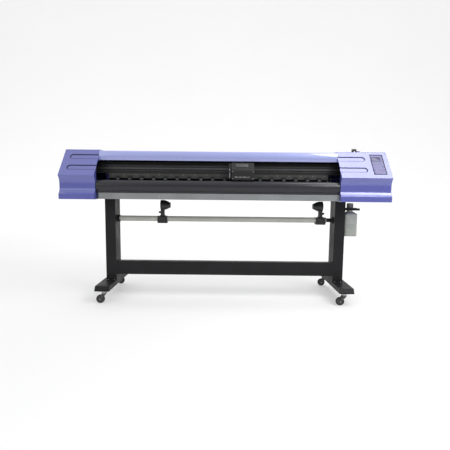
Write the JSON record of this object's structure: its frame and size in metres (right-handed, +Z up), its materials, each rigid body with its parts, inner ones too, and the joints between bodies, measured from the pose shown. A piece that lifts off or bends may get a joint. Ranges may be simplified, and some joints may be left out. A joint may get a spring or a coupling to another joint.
{
  "type": "wide format roll printer cutter",
  "caption": "Wide roll-fed printer and cutter on a two-legged castor stand: sloped end covers, open front over a moving carriage, and a roll bar with core chucks below.",
  "frame": {"origin": "on the floor, under the middle of the machine's overall box", "axes": "+Z up, +X along the machine to the right of an operator who stands on the -Y side and faces +Y"},
  "size_m": [2.7, 0.69, 1.319],
  "materials": {
    "cover_plastic": "satin",
    "black_paint": "satin powder coat",
    "grey_paint": "satin",
    "inner_paint": "satin",
    "apron_paint": "satin",
    "bed_metal": "anodised",
    "steel": "satin",
    "zinc_steel": "zinc plated",
    "castor_rubber": "matt",
    "grit_roller": "gritted",
    "pinch_rubber": "matt",
    "pale_strip": "satin",
    "dark_plastic": "textured",
    "carriage_plastic": "textured",
    "frame_alloy": "milled",
    "knife_steel": "satin",
    "belt_rubber": "matt",
    "chain_plastic": "matt",
    "motor_paint": "satin",
    "panel_film": "satin film",
    "key_plastic": "matt",
    "power_key_plastic": "matt",
    "tank_plastic": "satin",
    "box_steel": "satin",
    "switch_plastic": "gloss",
    "bar_alloy": "anodised",
    "holder_plastic": "satin",
    "chuck_plastic": "satin",
    "knob_plastic": "satin",
    "bottle_plastic": "translucent",
    "cap_plastic": "ribbed",
    "tray_plastic": "matt"
  },
  "bodies": {
    "machine": {"feet": "black_paint", "legs": "black_paint", "stretcher_beam": "black_paint", "stand_bolts": "steel", "castor_plates": "zinc_steel", "left_end_cover": "cover_plastic", "right_end_cover": "cover_plastic", "top_cover": "cover_plastic", "end_frames": "inner_paint", "main_beam": "inner_paint", "guide_beam": "inner_paint", "linear_rail": "steel", "platen": "bed_metal", "front_rail": "grey_paint", "front_apron": "apron_paint", "rear_guide": "apron_paint", "rear_cover": "inner_paint", "feed_motor": "motor_paint", "pinch_bar": "pale_strip", "drive_belt": "belt_rubber", "carriage_motor": "motor_paint", "cable_chain": "chain_plastic", "control_panel": "panel_film", "capping_base": "inner_paint", "ink_tanks": "tank_plastic", "control_box": "box_steel", "roll_bar": "bar_alloy", "bottle_bracket": "black_paint", "waste_bottle": "bottle_plastic"},
    "feed_roller": {"feed_roller": "grit_roller"},
    "pinch_arms": {"pinch_arms": "dark_plastic"},
    "pinch_rollers": {"pinch_rollers": "pinch_rubber"},
    "lift_lever": {"lift_lever": "steel"},
    "carriage": {"carriage_frame": "frame_alloy", "carriage_cover": "carriage_plastic", "print_heads": "dark_plastic"},
    "cutter": {"cutter_tool": "knife_steel"},
    "drive_pulley": {"drive_pulley": "frame_alloy"},
    "idler_pulley": {"idler_pulley": "frame_alloy"},
    "capping_tray": {"capping_tray": "tray_plastic"},
    "key_left": {"key_left": "key_plastic"},
    "key_right": {"key_right": "key_plastic"},
    "key_enter": {"key_enter": "key_plastic"},
    "key_power": {"key_power": "power_key_plastic"},
    "rocker": {"rocker_switch": "switch_plastic"},
    "holder_left": {"roll_holder_left": "holder_plastic"},
    "holder_right": {"roll_holder_right": "holder_plastic"},
    "chuck_left": {"core_chuck_left": "chuck_plastic"},
    "chuck_right": {"core_chuck_right": "chuck_plastic"},
    "knob_left": {"clamp_knob_left": "knob_plastic"},
    "knob_right": {"clamp_knob_right": "knob_plastic"},
    "bottle_cap": {"bottle_cap": "cap_plastic"},
    "fork_front_left": {"castor_fork_front_left": "zinc_steel"},
    "wheel_front_left": {"castor_wheel_front_left": "castor_rubber"},
    "fork_front_right": {"castor_fork_front_right": "zinc_steel"},
    "wheel_front_right": {"castor_wheel_front_right": "castor_rubber"},
    "fork_rear_left": {"castor_fork_rear_left": "zinc_steel"},
    "wheel_rear_left": {"castor_wheel_rear_left": "castor_rubber"},
    "fork_rear_right": {"castor_fork_rear_right": "zinc_steel"},
    "wheel_rear_right": {"castor_wheel_rear_right": "castor_rubber"}
  },
  "joints": [
    {"name": "castor_swivel_front_left", "type": "hinge", "parent": "machine", "child": "fork_front_left", "pos_m": [-0.99, -0.31, 0.09], "axis": [0, 0, 1], "continuous": true},
    {"name": "castor_spin_front_left", "type": "hinge", "parent": "fork_front_left", "child": "wheel_front_left", "pos_m": [-1.023, -0.31, 0.035], "axis": [0, 1, 0], "continuous": true},
    {"name": "castor_swivel_front_right", "type": "hinge", "parent": "machine", "child": "fork_front_right", "pos_m": [0.99, -0.31, 0.09], "axis": [0, 0, 1], "continuous": true},
    {"name": "castor_spin_front_right", "type": "hinge", "parent": "fork_front_right", "child": "wheel_front_right", "pos_m": [0.957, -0.31, 0.035], "axis": [0, 1, 0], "continuous": true},
    {"name": "castor_swivel_rear_left", "type": "hinge", "parent": "machine", "child": "fork_rear_left", "pos_m": [-0.99, 0.31, 0.09], "axis": [0, 0, 1], "continuous": true},
    {"name": "castor_spin_rear_left", "type": "hinge", "parent": "fork_rear_left", "child": "wheel_rear_left", "pos_m": [-1.023, 0.31, 0.035], "axis": [0, 1, 0], "continuous": true},
    {"name": "castor_swivel_rear_right", "type": "hinge", "parent": "machine", "child": "fork_rear_right", "pos_m": [0.99, 0.31, 0.09], "axis": [0, 0, 1], "continuous": true},
    {"name": "castor_spin_rear_right", "type": "hinge", "parent": "fork_rear_right", "child": "wheel_rear_right", "pos_m": [0.957, 0.31, 0.035], "axis": [0, 1, 0], "continuous": true},
    {"name": "carriage_slide", "type": "slide", "parent": "machine", "child": "carriage", "axis": [1, 0, 0], "range_m": [-1.143, 1.022], "deforming": ["cable_chain"]},
    {"name": "cutter_slide", "type": "slide", "parent": "carriage", "child": "cutter", "axis": [0, 0, 1], "range_m": [-0.0055, 0], "stiffness_N_per_m": 600, "springref_m": 0.006},
    {"name": "drive_pulley_spin", "type": "hinge", "parent": "machine", "child": "drive_pulley", "pos_m": [-1.24, -0.06, 1.16], "axis": [0, 0, 1], "continuous": true},
    {"name": "idler_pulley_spin", "type": "hinge", "parent": "machine", "child": "idler_pulley", "pos_m": [1.25, -0.06, 1.16], "axis": [0, 0, 1], "continuous": true},
    {"name": "feed_roller_spin", "type": "hinge", "parent": "machine", "child": "feed_roller", "pos_m": [0, -0.1, 0.997], "axis": [1, 0, 0], "continuous": true},
    {"name": "lift_lever_turn", "type": "hinge", "parent": "machine", "child": "lift_lever", "pos_m": [0, -0.005, 1.045], "axis": [1, 0, 0], "range_deg": [0, 22]},
    {"name": "pinch_arm_lift", "type": "hinge", "parent": "machine", "child": "pinch_arms", "pos_m": [0, -0.055, 1.05], "axis": [1, 0, 0], "range_deg": [-5, 0]},
    {"name": "pinch_roller_spin", "type": "hinge", "parent": "pinch_arms", "child": "pinch_rollers", "pos_m": [0, -0.1, 1.0223], "axis": [1, 0, 0], "continuous": true},
    {"name": "capping_lift", "type": "slide", "parent": "machine", "child": "capping_tray", "axis": [0, 0, 1], "range_m": [0, 0.008]},
    {"name": "rocker_turn", "type": "hinge", "parent": "machine", "child": "rocker", "pos_m": [1.251, 0.231, 0.949], "axis": [1, 0, 0], "range_deg": [-6, 6]},
    {"name": "bottle_cap_turn", "type": "hinge", "parent": "machine", "child": "bottle_cap", "pos_m": [1.099, -0.025, 0.81], "axis": [0, 0, 1], "continuous": true},
    {"name": "key_left_press", "type": "slide", "parent": "machine", "child": "key_left", "axis": [0, 0.7699, -0.6381], "range_m": [0, 0.0008], "stiffness_N_per_m": 200},
    {"name": "key_right_press", "type": "slide", "parent": "machine", "child": "key_right", "axis": [0, 0.7699, -0.6381], "range_m": [0, 0.0008], "stiffness_N_per_m": 200},
    {"name": "key_enter_press", "type": "slide", "parent": "machine", "child": "key_enter", "axis": [0, 0.7699, -0.6381], "range_m": [0, 0.0008], "stiffness_N_per_m": 200},
    {"name": "key_power_press", "type": "slide", "parent": "machine", "child": "key_power", "axis": [0, 0.7699, -0.6381], "range_m": [0, 0.0008], "stiffness_N_per_m": 200},
    {"name": "holder_slide_left", "type": "slide", "parent": "machine", "child": "holder_left", "axis": [1, 0, 0], "range_m": [-0.3, 0.45]},
    {"name": "chuck_spin_left", "type": "hinge", "parent": "holder_left", "child": "chuck_left", "pos_m": [-0.547, -0.045, 0.801], "axis": [1, 0, 0], "continuous": true},
    {"name": "knob_turn_left", "type": "hinge", "parent": "holder_left", "child": "knob_left", "pos_m": [-0.577, -0.045, 0.738], "axis": [-1, 0, 0], "range_deg": [0, 360]},
    {"name": "holder_slide_right", "type": "slide", "parent": "machine", "child": "holder_right", "axis": [1, 0, 0], "range_m": [-0.75, 0.03]},
    {"name": "chuck_spin_right", "type": "hinge", "parent": "holder_right", "child": "chuck_right", "pos_m": [0.834, -0.045, 0.801], "axis": [1, 0, 0], "continuous": true},
    {"name": "knob_turn_right", "type": "hinge", "parent": "holder_right", "child": "knob_right", "pos_m": [0.864, -0.045, 0.738], "axis": [1, 0, 0], "range_deg": [0, 360]}
  ],
  "couplings": [
    {"joint": "drive_pulley_spin", "follows": "carriage_slide", "rad_per_m": 49.261},
    {"joint": "idler_pulley_spin", "follows": "carriage_slide", "rad_per_m": 49.261},
    {"joint": "pinch_roller_spin", "follows": "feed_roller_spin", "ratio": -1.7778},
    {"joint": "pinch_arm_lift", "follows": "lift_lever_turn", "ratio": -0.227}
  ]
}
